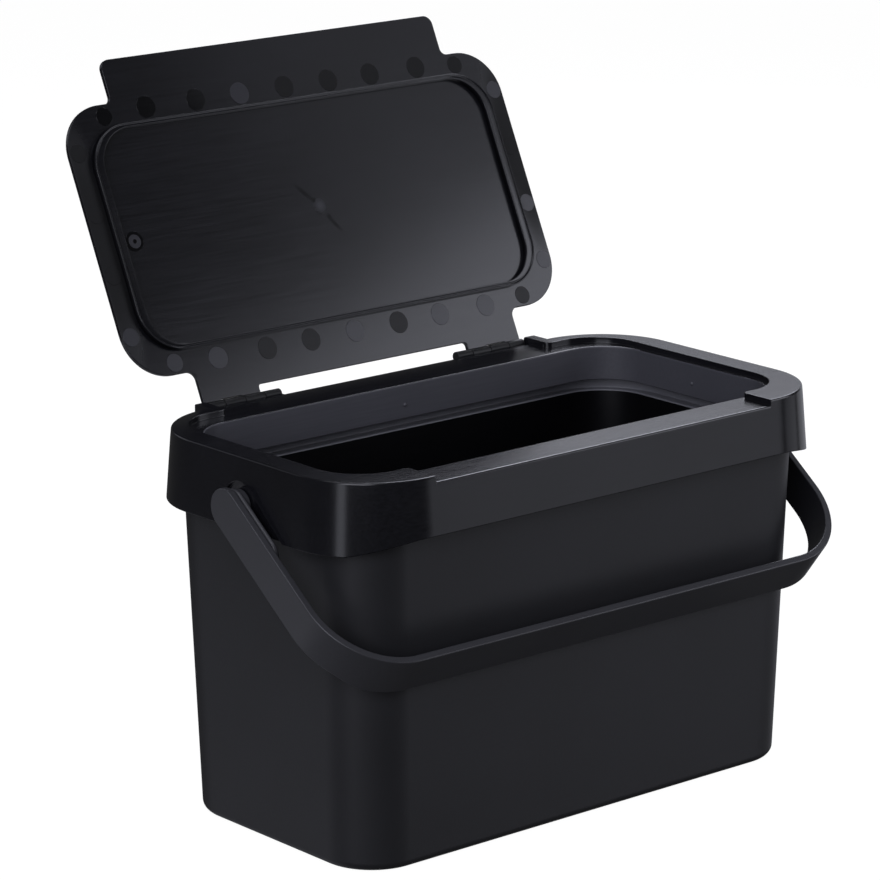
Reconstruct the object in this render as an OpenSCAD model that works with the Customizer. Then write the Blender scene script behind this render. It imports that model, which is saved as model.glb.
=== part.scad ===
// Kitchen compost caddy: a tapered bucket, a collar pressed over its rim, a lid
// hinged on the collar and a strap handle that swings from the collar's ends.
// The lid is drawn open and the handle is drawn hanging at the front.
// +X runs along the long side, -Y is the front, +Z is up, in millimetres.
// The origin is the centre of the base.

/* [Bucket] */
// Length of the bucket at its base
base_l = 247; // [200:1:300]
// Width of the bucket at its base
base_w = 124.8; // [104:0.2:160]
// Overall height to the top of the collar
height = 168.6; // [140:0.2:210]
// Radius of the bucket's upright corners
corner_r = 24.7; // [18:0.1:30]
// Lean of the bucket's walls, in degrees
draft = 1.6; // [0.5:0.1:3]
// Thickness of the bucket's walls and floor
bucket_wall = 2; // [1.6:0.1:3]
// Radius of the rounded edge around the base
base_fillet = 4; // [2.5:0.1:7]
// Reach of the shoulder from the wall out to the rim
shoulder_w = 4.7; // [3.8:0.1:6]
// Height of the rim above the shoulder
rim_h = 19.4; // [15:0.1:24]
// Thickness of the rim
rim_wall = 1.8; // [1.4:0.1:2.2]

/* [Collar] */
// Clearance between the rim and the collar's skirt
seat_gap = 0.3; // [0.2:0.05:0.5]
// Thickness of the collar's skirt
skirt_wall = 2.2; // [1.6:0.1:2.6]
// Thickness of the collar's top and of the shelf under the lid
land_t = 2.2; // [1.6:0.1:3]
// Extra radius of the collar's upright corners over the bucket's
collar_more_r = 12.6; // [10:0.1:15]
// Depth of the skirt on the short sides
skirt_h = 30.6; // [26:0.1:36]
// Rise of the skirt's lower edge along the long sides
arch_rise = 6; // [3:0.5:9]
// Width of each curve that leads up into the rise
arch_run = 30; // [24:1:36]
// Distance from the end of the skirt in to the start of that curve
arch_end = 7; // [5:0.5:10]
// Growth of the skirt on each side, from its top to its lower edge
flare = 2.4; // [1:0.1:3]
// Width of the collar's flat top along the short sides
side_land = 12; // [10:0.1:14]
// Width of the collar's flat top at the back
back_land = 7; // [6:0.1:9]
// Width of the collar's flat top at the front
front_land = 17.7; // [14:0.1:20]
// Depth of the recess that the lid lies in
recess_d = 2.6; // [2.3:0.1:3.2]
// Ledge that carries the lid along the short sides
side_ledge = 2.3; // [1.5:0.1:4]
// Ledge that carries the lid at the back
back_ledge = 8.4; // [5:0.1:10]
// Ledge beside the lid's plate at the front
front_ledge = 0.6; // [0.4:0.1:1.5]
// Radius of the mouth's corners
mouth_r = 21; // [16:0.1:24]
// Depth of the wall that hangs from the mouth
mouth_h = 15.4; // [10:0.1:18]
// Thickness of the wall that hangs from the mouth
mouth_wall = 2; // [1.5:0.1:2.4]

/* [Lid] */
// Angle the lid is drawn open, from closed
lid_open = 115.3; // [95:0.1:120]
// Thickness of the lid
lid_t = 2.1; // [1.8:0.1:2.3]
// Gap around the lid in its recess
lid_gap = 0.7; // [0.4:0.1:1]
// Gap under the closed lid
under_gap = 0.2; // [0.1:0.05:0.4]
// Half width of the tab at the front
tab_half = 93.3; // [60:0.1:94]
// Reach of the tab past the collar's front
tab_out = 0.9; // [0.5:0.1:2]
// Radius of the tab's outer corners
tab_r = 4.5; // [2:0.1:8]
// Radius of the corner between the tab and the plate
tab_in_r = 3; // [2:0.1:5]
// Half width of the flap that leads back to the hinge
flap_half = 90; // [84:0.1:92]
// Radius of the corner between the flap and the plate
flap_in_r = 4; // [2:0.1:6]
// Distance from the lid's edge in to the ring rib
ring_in = 9.8; // [8:0.1:12]
// Width of the ring rib's front and back runs
ring_w = 2.2; // [1.6:0.1:3]
// Width of the ring rib's side runs
ring_side_w = 4.5; // [3:0.1:6]
// Height of the ring rib
ring_h = 2.6; // [2:0.1:4]
// Outer radius of the ring rib's corners
ring_r = 20; // [14:0.1:26]

/* [Hinge] */
// Distance of the hinge axis behind the collar's top
hinge_out = 9.3; // [8.5:0.1:11]
// Depth of the hinge axis below the lid's underside
hinge_drop = 0.6; // [0.4:0.1:0.8]
// Radius of the pins moulded on the lid
pin_r = 1.25; // [1:0.05:1.4]
// Radial clearance of each pin in its clip
pin_gap = 0.05; // [0.02:0.01:0.1]
// Outer radius of the lid's barrels and the collar's clips
barrel_r = 2.3; // [2:0.05:2.6]
// Gap between neighbouring barrels and clips
knuckle_gap = 0.35; // [0.25:0.05:0.6]
// Width of each clip that grips a pin
clip_w = 10.6; // [8:0.1:12]
// Distance from the middle to the centre of each clip
clip_x = 75.4; // [74:0.1:77]
// Width of each barrel on the lid's hinge side
barrel_w = 10.4; // [8:0.1:11]
// Width of the lug that guides each tab's inner end
guide_w = 8.6; // [5:0.1:9]
// Depth of the slot that the lid's flap has between its tabs
slot_v = 5.9; // [4:0.1:8]
// Length of the flap's short side beyond the hinge axis
flap_end = 1.7; // [1.2:0.1:2]
// Mouth of the clip that the pin goes in through
snap_w = 2; // [1.6:0.1:2.2]
// Wall beside the hinge recess
shelf_wall = 5.4; // [4:0.1:7]

/* [Handle] */
// Distance of the handle's pivot behind the middle
pivot_y = 1.5; // [-4:0.5:6]
// Depth of the handle's pivot below the top of the collar
pivot_drop = 20.6; // [16:0.1:22]
// Width of the handle's strap
strap_w = 17.2; // [14:0.1:19]
// Thickness of the handle's strap
strap_t = 3.3; // [2.6:0.1:4]
// Clearance between the strap and the widest part of the skirt
strap_gap = 3.6; // [2.5:0.1:6]
// Radius of the strap's outer bends
bend_r = 36; // [28:1:44]
// Clearance between the swinging grip and the collar's front
grip_gap = 16.5; // [12:0.5:24]
// Extra depth of the grip below the strap
grip_drop = 2.3; // [1:0.1:4]
// Gap between the hanging grip and the bucket
hang_gap = 2; // [0.5:0.1:4]
// Radius of the stud that turns in the collar
stud_r = 4; // [3:0.1:4.8]
// Radial clearance of the stud in its bore
stud_gap = 0.05; // [0.02:0.01:0.1]
// Radius of the boss between the strap and the collar
boss_r = 7; // [6:0.1:8]
// Half width of the pocket that the boss sits in
pocket_r = 10; // [9:0.1:11]
// Thickness of the pocket's floor
pocket_wall = 1.8; // [1.5:0.1:2.2]
// Gap between the boss and the pocket's floor
boss_gap = 0.3; // [0.2:0.05:0.5]

/* [Hidden] */

$fn = 96;
hull_fn = 48;          // segments of each circle inside a hull
fillet_step = 18;      // degrees between the slabs that round the base
arch_steps = 8;        // straight pieces in each curve of the skirt's edge
arch_power = 1.6;      // how gently each curve starts
slice = 0.01;          // thickness of the slabs that a hull joins
past = 1;              // how far a cut runs past the surface it opens

slope = tan(draft);
land_under = height - land_t;
shelf_top = height - recess_d;
shelf_under = shelf_top - land_t;
rim_top = shelf_under;
shoulder_z = rim_top - rim_h;

// Half sizes of the bucket's outside at height z
function bucket_x(z) = base_l / 2 + slope * z;
function bucket_y(z) = base_w / 2 + slope * z;

rim_x = bucket_x(shoulder_z) + shoulder_w;
rim_y = bucket_y(shoulder_z) + shoulder_w;
collar_x = rim_x + seat_gap + skirt_wall;
collar_y = rim_y + seat_gap + skirt_wall;
collar_r = corner_r + collar_more_r;
rim_r = collar_r - skirt_wall - seat_gap;

skirt_z = height - skirt_h;
recess_x = collar_x - side_land;
recess_back = collar_y - back_land;
recess_front = front_land - collar_y;
recess_r = mouth_r + lid_gap;
mouth_x = recess_x - side_ledge;
mouth_back = recess_back - back_ledge;
mouth_front = recess_front + front_ledge;

lid_x = recess_x - lid_gap;
lid_back = recess_back - lid_gap;
lid_front = recess_front + lid_gap;
tab_front = -collar_y - tab_out;
lid_under = shelf_top + under_gap;
hinge_y = collar_y + hinge_out;
hinge_z = lid_under - hinge_drop;
hinge_gap = lid_gap + knuckle_gap;
wall_in = flap_half + hinge_gap;
shelf_back = hinge_y - barrel_r - under_gap - land_t / 2;
lug_in = clip_x - clip_w / 2 - 2 * knuckle_gap - barrel_w - guide_w;

pivot_z = height - pivot_drop;
skirt_max = collar_x + flare;
strap_in = skirt_max + strap_gap;
strap_out = strap_in + strap_t;
reach = collar_y + pivot_y + flare + grip_gap + strap_t;
pocket_back = rim_x + seat_gap;
pocket_floor = pocket_back + pocket_wall;

// Angle below level at which the grip's lower inner edge nears the bucket's wall
grip_in = reach - strap_t;
grip_low = strap_w / 2 + grip_drop;
hang_a = grip_in + slope * grip_low;
hang_b = slope * grip_in - grip_low;
hang_c = bucket_y(pivot_z) + hang_gap + pivot_y;
hang = atan2(hang_b, hang_a) + acos(hang_c / norm([hang_a, hang_b]));

// Rectangle with round corners, centred, given by its half sizes
module rounded(hx, hy, r) {
    square([2 * (hx - r), 2 * hy], center = true);
    square([2 * hx, 2 * (hy - r)], center = true);
    for (sx = [-1, 1], sy = [-1, 1])
        translate([sx * (hx - r), sy * (hy - r)]) circle(r);
}

// Rectangle with round corners between two Y values
module rounded_span(hx, y0, y1, r) {
    translate([0, (y0 + y1) / 2]) rounded(hx, (y1 - y0) / 2, r);
}

module slab(hx, hy, r, z) {
    translate([0, 0, z]) linear_extrude(slice) rounded(hx, hy, r, $fn = hull_fn);
}

// Tapered tub from z0 to z1, drawn in by inset, with a rounded lower edge
module tub(inset, z0, z1) {
    fillet = base_fillet - inset;
    hull() {
        for (a = [0 : fillet_step : 90]) {
            z = z0 + fillet * (1 - cos(a));
            in = inset + fillet * (1 - sin(a));
            slab(bucket_x(z) - in, bucket_y(z) - in, corner_r - in, z);
        }
        slab(bucket_x(z1) - inset, bucket_y(z1) - inset, corner_r - inset, z1 - slice);
    }
}

module bucket() {
    rim_z = shoulder_z - bucket_wall;
    color("#2e2e33") difference() {
        union() {
            tub(0, 0, shoulder_z);
            translate([0, 0, rim_z]) linear_extrude(rim_top - rim_z) rounded(rim_x, rim_y, rim_r);
        }
        tub(bucket_wall, bucket_wall, shoulder_z + past);
        translate([0, 0, shoulder_z]) linear_extrude(rim_h + past)
            rounded(rim_x - rim_wall, rim_y - rim_wall, rim_r - rim_wall);
    }
}

// Flared outside of the collar, drawn in by inset, up to z1
module flared(inset, z1) {
    low = flare * (1 + past / skirt_h);
    top = flare * (height - z1) / skirt_h;
    hull() {
        slab(collar_x + low - inset, collar_y + low - inset, collar_r + low - inset, skirt_z - past);
        slab(collar_x + top - inset, collar_y + top - inset, collar_r + top - inset, z1 - slice);
    }
}

// Square patch around the origin with a round cut from one corner
module inner_round(r) {
    difference() {
        translate([-r, -r]) square(2 * r);
        translate([r, r]) circle(r);
    }
}

// Rounds of the corners beside the tab and the flap; gap widens them from the lid's to the collar's
module corner_rounds(front, back, tab_gap, flap_gap) {
    both_ends() {
        translate([tab_half + tab_gap, front]) mirror([0, 1]) inner_round(tab_in_r - tab_gap);
        translate([flap_half + flap_gap, back]) inner_round(flap_in_r - flap_gap);
    }
}

// Outline of the recess, grown by grow; it runs off the collar at the front tab and the hinge
module recess_outline(grow) {
    rounded_span(recess_x + grow, recess_front - grow, recess_back + grow, recess_r + grow);
    tab_w = tab_half + lid_gap + grow;
    translate([-tab_w, tab_front - past]) square([2 * tab_w, -tab_front + past]);
}

module mouth_outline(grow) {
    rounded_span(mouth_x + grow, mouth_front - grow, mouth_back + grow, mouth_r + grow);
}

// Everything below the skirt's lower edge, as a prism along Y
module arch_cut() {
    x_end = skirt_max - arch_end;
    curve = [for (i = [0 : arch_steps]) let (t = i / arch_steps)
        [x_end - arch_run * (1 - t), skirt_z + arch_rise * (1 - pow(t, arch_power))]];
    right = concat(curve, [[x_end + skirt_max, skirt_z], [x_end + skirt_max, skirt_z - 2 * past]]);
    left = [for (i = [len(right) - 1 : -1 : 0]) [-right[i][0], right[i][1]]];
    depth = 4 * collar_y;
    translate([0, depth / 2, 0]) rotate([90, 0, 0]) linear_extrude(depth)
        polygon(concat(left, right));
}

// Shape along X at the handle's pivot, running down the strap's way to past the skirt
module pivot_slot(r, x0, x1) {
    run = skirt_h + strap_w;
    translate([x0, pivot_y, pivot_z]) {
        rotate([0, 90, 0]) cylinder(r = r, h = x1 - x0);
        rotate([hang, 0, 0]) translate([0, -run, -r]) cube([x1 - x0, run, 2 * r]);
    }
}

module both_ends() {
    children();
    mirror([1, 0, 0]) children();
}

// Bar along X at the hinge axis
module hinge_bar(r, x0, x1) {
    translate([x0, hinge_y, hinge_z]) rotate([0, 90, 0]) cylinder(r = r, h = x1 - x0);
}

// Lug that stands at the hinge axis on the back edge of the shelf
module lug(x0, x1) {
    hinge_bar(barrel_r, x0, x1);
    y0 = shelf_back - past;
    z0 = hinge_z - barrel_r;
    translate([x0, y0, z0]) cube([x1 - x0, hinge_y - y0, shelf_top - z0]);
    translate([x0, collar_y - skirt_wall, z0 - barrel_r]) cube([x1 - x0, y0 - collar_y + 2 * skirt_wall, barrel_r + past]);
}

module hinge_shelf() {
    half = wall_in + shelf_wall;
    y0 = recess_back - past;
    translate([-half, y0, shelf_under]) cube([2 * half, shelf_back - y0, land_t]);
    both_ends() {
        lug(lug_in, lug_in + guide_w);
        lug(clip_x - clip_w / 2, clip_x + clip_w / 2);
        side_y = collar_y - skirt_wall;
        translate([wall_in, side_y, shelf_under]) cube([shelf_wall, hinge_y - side_y, height - shelf_under]);
    }
}

module collar() {
    pad_r = pocket_r + pocket_wall;
    clip_in = clip_x - clip_w / 2 - past;
    color("#34343a") difference() {
        union() {
            difference() {
                flared(0, height);
                flared(skirt_wall, land_under);
            }
            translate([0, 0, shelf_under]) linear_extrude(land_t + recess_d - land_t / 2) intersection() {
                recess_outline(land_t);
                rounded(collar_x, collar_y, collar_r);
            }
            translate([0, 0, shelf_top - mouth_h]) linear_extrude(mouth_h) mouth_outline(mouth_wall);
            hinge_shelf();
            both_ends() intersection() {
                pivot_slot(pad_r, pocket_back, skirt_max);
                translate([0, 0, skirt_z]) linear_extrude(land_under - skirt_z) rounded(collar_x, collar_y, collar_r);
            }
        }
        translate([0, 0, shelf_top]) linear_extrude(recess_d + past) {
            recess_outline(0);
            corner_rounds(recess_front, recess_back, lid_gap, hinge_gap);
        }
        translate([-wall_in, mouth_back, shelf_top]) cube([2 * wall_in, 2 * hinge_out + back_ledge, recess_d + past]);
        translate([0, 0, shelf_top - mouth_h - past]) linear_extrude(mouth_h + 2 * past) mouth_outline(0);
        arch_cut();
        both_ends() {
            pivot_slot(pocket_r, pocket_floor, strap_out);
            translate([pocket_back - past, pivot_y, pivot_z]) rotate([0, 90, 0])
                cylinder(r = stud_r + stud_gap, h = pocket_wall + 2 * past);
            hinge_bar(pin_r + pin_gap, clip_in, clip_in + clip_w + 2 * past);
            translate([clip_in, hinge_y, hinge_z - snap_w / 2]) cube([clip_w + 2 * past, barrel_r + past, snap_w]);
        }
    }
}

// The lid's outline, closed, seen from above
module lid_outline() {
    notch = clip_w + 2 * knuckle_gap;
    slot_half = clip_x - clip_w / 2 - knuckle_gap - barrel_w;
    difference() {
        union() {
            rounded_span(lid_x, lid_front, lid_back, mouth_r);
            rounded_span(tab_half, tab_front, 0, tab_r);
            translate([-flap_half, 0]) square([2 * flap_half, hinge_y - flap_end]);
            corner_rounds(lid_front, lid_back, 0, 0);
        }
        rounded_span(slot_half, hinge_y - slot_v, hinge_y + past, flap_end);
        both_ends() translate([clip_x - notch / 2, hinge_y - barrel_r - knuckle_gap]) square([notch, barrel_r + past]);
    }
}

// Outline of the ring rib, drawn in by in_x at the sides and by in_y at the front and back
module ring_outline(in_x, in_y) {
    half = lid_x - ring_in - in_x;
    inset = ring_in + in_y;
    rounded_span(half, lid_front + inset, lid_back - inset, ring_r - in_y);
}

module lid_closed() {
    translate([0, 0, lid_under]) linear_extrude(lid_t) lid_outline();
    translate([0, 0, lid_under - ring_h]) linear_extrude(ring_h) difference() {
        ring_outline(0, 0);
        ring_outline(ring_side_w, ring_w);
    }
    both_ends() {
        inner = clip_x - clip_w / 2 - knuckle_gap - barrel_w;
        outer = clip_x + clip_w / 2 + knuckle_gap;
        hinge_bar(pin_r, inner, flap_half);
        for (x0 = [inner, outer]) {
            x1 = min(x0 + barrel_w, flap_half);
            hinge_bar(barrel_r, x0, x1);
            translate([x0, hinge_y - barrel_r, hinge_z]) cube([x1 - x0, barrel_r, barrel_r]);
        }
    }
}

module lid() {
    color("#35353b") translate([0, hinge_y, hinge_z]) rotate([-lid_open, 0, 0])
        translate([0, -hinge_y, -hinge_z]) lid_closed();
}

// Outline of the strap's U, drawn in by inset, with its open side at y = 0
module strap_outline(inset) {
    hx = strap_out - inset;
    r = bend_r - inset;
    far = reach - inset;
    translate([-hx, r - far]) square([2 * hx, far - r + inset]);
    translate([r - hx, -far]) square([2 * (hx - r), far + inset]);
    for (sx = [-1, 1]) translate([sx * (hx - r), r - far]) circle(r);
}

module strap_band() {
    difference() {
        intersection() {
            strap_outline(0);
            translate([-strap_out, -reach]) square([2 * strap_out, reach]);
        }
        strap_outline(strap_t);
    }
}

module handle() {
    grip_from = reach - bend_r * (1 - sin(45));
    color("#37373d") translate([0, pivot_y, pivot_z]) rotate([hang, 0, 0]) {
        translate([0, 0, -strap_w / 2]) linear_extrude(strap_w) strap_band();
        translate([0, 0, -grip_low]) linear_extrude(grip_low) intersection() {
            strap_band();
            translate([-strap_out, -reach]) square([2 * strap_out, reach - grip_from]);
        }
        both_ends() rotate([0, 90, 0]) {
            translate([0, 0, strap_in]) cylinder(r = strap_w / 2, h = strap_t);
            translate([0, 0, pocket_floor + boss_gap]) cylinder(r = boss_r, h = strap_in - pocket_floor);
            translate([0, 0, pocket_back]) cylinder(r = stud_r, h = strap_in - pocket_back);
        }
    }
}

bucket();
collar();
lid();
handle();
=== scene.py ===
import bpy
import bmesh
import math
from mathutils import Matrix, Vector


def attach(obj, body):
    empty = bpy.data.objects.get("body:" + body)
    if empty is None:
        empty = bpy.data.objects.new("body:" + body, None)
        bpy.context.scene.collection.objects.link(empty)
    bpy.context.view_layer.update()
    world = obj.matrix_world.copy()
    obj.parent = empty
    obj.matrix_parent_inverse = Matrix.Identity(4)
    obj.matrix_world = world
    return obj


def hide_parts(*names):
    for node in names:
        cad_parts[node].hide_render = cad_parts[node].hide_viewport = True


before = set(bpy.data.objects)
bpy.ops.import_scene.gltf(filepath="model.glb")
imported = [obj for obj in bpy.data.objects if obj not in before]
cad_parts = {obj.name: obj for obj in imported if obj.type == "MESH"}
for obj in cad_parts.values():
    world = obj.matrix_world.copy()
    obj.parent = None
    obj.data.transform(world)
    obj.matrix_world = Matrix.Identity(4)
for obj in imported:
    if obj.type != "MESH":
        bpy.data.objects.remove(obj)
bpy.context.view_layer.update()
print("frame loaded")

# Shapes are modelled in millimetres, in the CAD frame, and turned to metres when a piece is finished.
toMetres = Matrix.Scale(0.001, 4)


def linearColour(hexText):
    parts = [int(hexText[i:i + 2], 16) / 255 for i in (1, 3, 5)]
    return tuple(c / 12.92 if c <= 0.04045 else ((c + 0.055) / 1.055) ** 2.4 for c in parts) + (1,)


def roundTurn(corner, before, after, radius, steps=4):
    # points of a round between two edges at a right angle, as (inset, height)
    points = []
    for i in range(steps + 1):
        angle = math.pi / 2 * i / steps
        stayed, gone = 1 - math.sin(angle), 1 - math.cos(angle)
        points.append((corner[0] + radius * (before[0] * stayed + after[0] * gone),
                       corner[1] + radius * (before[1] * stayed + after[1] * gone)))
    return points


inward, outward, up, down = (1, 0), (-1, 0), (0, 1), (0, -1)
# side in x, side in y, and the angle that the corner starts at
cornerSigns = {"frontRight": (1, -1, -90), "backRight": (1, 1, 0),
               "backLeft": (-1, 1, 90), "frontLeft": (-1, -1, 180)}


def wallColumns(front, back, side, cornerSteps):
    # columns round a box with round corners, anticlockwise from above; front and back stops may carry notes
    stops = lambda name, values: [(name, v[0], v[1]) if isinstance(v, tuple) else (name, v, {}) for v in values]
    corner = lambda name: [(name, cornerSigns[name][2] + 90 * i / cornerSteps, {}) for i in range(cornerSteps + 1)]
    return (stops("front", front) + corner("frontRight") + stops("right", side) + corner("backRight")
            + stops("back", back[::-1]) + corner("backLeft") + stops("left", side[::-1]) + corner("frontLeft"))


def outlinePlace(column, halfX, front, back, radius, height):
    # where a column meets one round-cornered outline
    name, value = column[0], column[1]
    if name == "front":
        return Vector((value, front, height))
    if name == "back":
        return Vector((value, back, height))
    if name == "right":
        return Vector((halfX, value, height))
    if name == "left":
        return Vector((-halfX, value, height))
    signX, signY, _ = cornerSigns[name]
    angle = math.radians(value)
    middleY = (back - radius) if signY > 0 else (front + radius)
    return Vector((signX * (halfX - radius) + radius * math.cos(angle), middleY + radius * math.sin(angle), height))


def wrapWall(columns, paths, closed):
    # one ring of edges is extruded again and again; every column follows its own path
    bm = bmesh.new()
    number = bm.verts.layers.int.new("column")
    ring = bmesh.ops.create_circle(bm, segments=len(columns), radius=1)["verts"]
    for i, vert in enumerate(ring):
        vert[number] = i
        vert.co = paths[i][0]
    edges = list(bm.edges)
    if not closed:
        bmesh.ops.edgeloop_fill(bm, edges=edges)
    rows = len(paths[0]) + (1 if closed else 0)
    for row in range(1, rows):
        made = bmesh.ops.extrude_edge_only(bm, edges=edges)["geom"]
        edges = [e for e in made if isinstance(e, bmesh.types.BMEdge)]
        for vert in [v for v in made if isinstance(v, bmesh.types.BMVert)]:
            vert.co = paths[vert[number]][row % len(paths[0])]
    if not closed:
        bmesh.ops.edgeloop_fill(bm, edges=edges)
    bmesh.ops.remove_doubles(bm, verts=bm.verts, dist=0.004)
    bmesh.ops.recalc_face_normals(bm, faces=bm.faces)
    return bm


def addBar(bm, radius, start, end, y, z, edge=0.25, segments=40):
    # round bar along X with softened ends
    turn = Matrix.Rotation(math.pi / 2, 4, "Y")
    place = Matrix.Translation(((start + end) / 2, y, z)) @ turn
    made = bmesh.ops.create_cone(bm, cap_ends=True, segments=segments, radius1=radius, radius2=radius,
                                 depth=end - start, matrix=place)["verts"]
    rims = {e for v in made for e in v.link_edges if abs(e.verts[0].co.x - e.verts[1].co.x) < 1e-4}
    if edge:
        bmesh.ops.bevel(bm, geom=list(rims), offset=edge, segments=3, profile=0.5, affect="EDGES", material=-1)


def addBlock(bm, low, high, edge=0.25):
    # box between two corners, with softened edges
    size = [h - l for l, h in zip(low, high)]
    middle = [(l + h) / 2 for l, h in zip(low, high)]
    place = Matrix.Translation(middle) @ Matrix.Diagonal((*size, 1))
    made = bmesh.ops.create_cube(bm, size=1, matrix=place)["verts"]
    if edge:
        edges = {e for v in made for e in v.link_edges}
        bmesh.ops.bevel(bm, geom=list(edges), offset=edge, segments=2, profile=0.5, affect="EDGES", material=-1)


def meshObject(name, bm):
    # the bmesh is used up here
    bmesh.ops.recalc_face_normals(bm, faces=bm.faces)
    mesh = bpy.data.meshes.new(name)
    bm.to_mesh(mesh)
    bm.free()
    made = bpy.data.objects.new(name, mesh)
    bpy.context.scene.collection.objects.link(made)
    return made


def combine(target, tool, operation):
    # exact boolean, applied at once, so that the piece keeps a plain mesh
    step = target.modifiers.new("combine", "BOOLEAN")
    step.operation, step.solver, step.use_self, step.object = operation, "EXACT", True, tool
    bpy.context.view_layer.update()
    shaped = target.evaluated_get(bpy.context.evaluated_depsgraph_get())
    merged = bpy.data.meshes.new_from_object(shaped)
    target.modifiers.clear()
    target.data = merged
    bpy.data.objects.remove(tool)


def finishPiece(piece, materials, body, node):
    mesh = piece.data
    mesh.transform(toMetres)
    for material in materials:
        mesh.materials.append(material)
    for face in mesh.polygons:
        face.use_smooth = True
    soften = piece.modifiers.new("even normals", "WEIGHTED_NORMAL")
    soften.weight = 80
    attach(piece, body)
    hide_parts(node)
    print("finished", piece.name, len(mesh.polygons), "faces")


def addNode(tree, kind, settings=None, links=None):
    # a setting is an input socket where the node has one of that name, or else a property
    node = tree.nodes.new(kind)
    for name, value in (settings or {}).items():
        if isinstance(name, int) or name in node.inputs:
            node.inputs[name].default_value = value
        else:
            setattr(node, name, value)
    for name, source in (links or {}).items():
        tree.links.new(source, node.inputs[name])
    return node


# Polypropylene for the bucket, moulded against a spark-grained tool: the grain spreads
# every highlight, so the walls read as an even, soft charcoal.
grainedPlastic = dict(colour="#1f1f21", worn="#28282b", roughness=0.47, grainMm=0.9, grainDepthMm=0.06, relief=0.35,
                      cloudMm=60)


def makeGrainedPolypropylene():
    values = grainedPlastic
    material = bpy.data.materials.new("moulded polypropylene, spark grain")
    material.use_nodes = True
    tree = material.node_tree
    shader = tree.nodes["Principled BSDF"]
    shader.inputs["IOR"].default_value = 1.49
    place = addNode(tree, "ShaderNodeTexCoord")
    cloud = addNode(tree, "ShaderNodeTexNoise", {"Scale": 1000 / values["cloudMm"], "Detail": 3, "Roughness": 0.55},
                    {"Vector": place.outputs["Object"]})
    # 0.9 mm is about twice the real grain, so that it shows at the photograph's distance
    grain = addNode(tree, "ShaderNodeTexNoise", {"Scale": 1000 / values["grainMm"], "Detail": 2, "Roughness": 0.6},
                    {"Vector": place.outputs["Object"]})
    tone = addNode(tree, "ShaderNodeMix", {"data_type": "RGBA"}, {"Factor": cloud.outputs["Fac"]})
    tone.inputs[6].default_value = linearColour(values["colour"])
    tone.inputs[7].default_value = linearColour(values["worn"])
    gloss = addNode(tree, "ShaderNodeMapRange",
                    {"To Min": values["roughness"] - 0.07, "To Max": values["roughness"] + 0.09},
                    {"Value": grain.outputs["Fac"]})
    relief = addNode(tree, "ShaderNodeBump", {"Strength": values["relief"], "Distance": values["grainDepthMm"] / 1000},
                     {"Height": grain.outputs["Fac"]})
    tree.links.new(tone.outputs[2], shader.inputs["Base Color"])
    tree.links.new(gloss.outputs["Result"], shader.inputs["Roughness"])
    tree.links.new(relief.outputs["Normal"], shader.inputs["Normal"])
    return material


# Polypropylene for the collar, lid and handle, moulded against a stoned steel tool: the
# stoning leaves fine lines along the long side, which pull each highlight into a satin streak.
satinPlastic = dict(colour="#0e0e11", pale="#26262b", roughness=0.19, lineMm=0.9, lineLengthMm=26, lineDepthMm=0.006,
                    relief=0.2, cloudMm=45)


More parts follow.
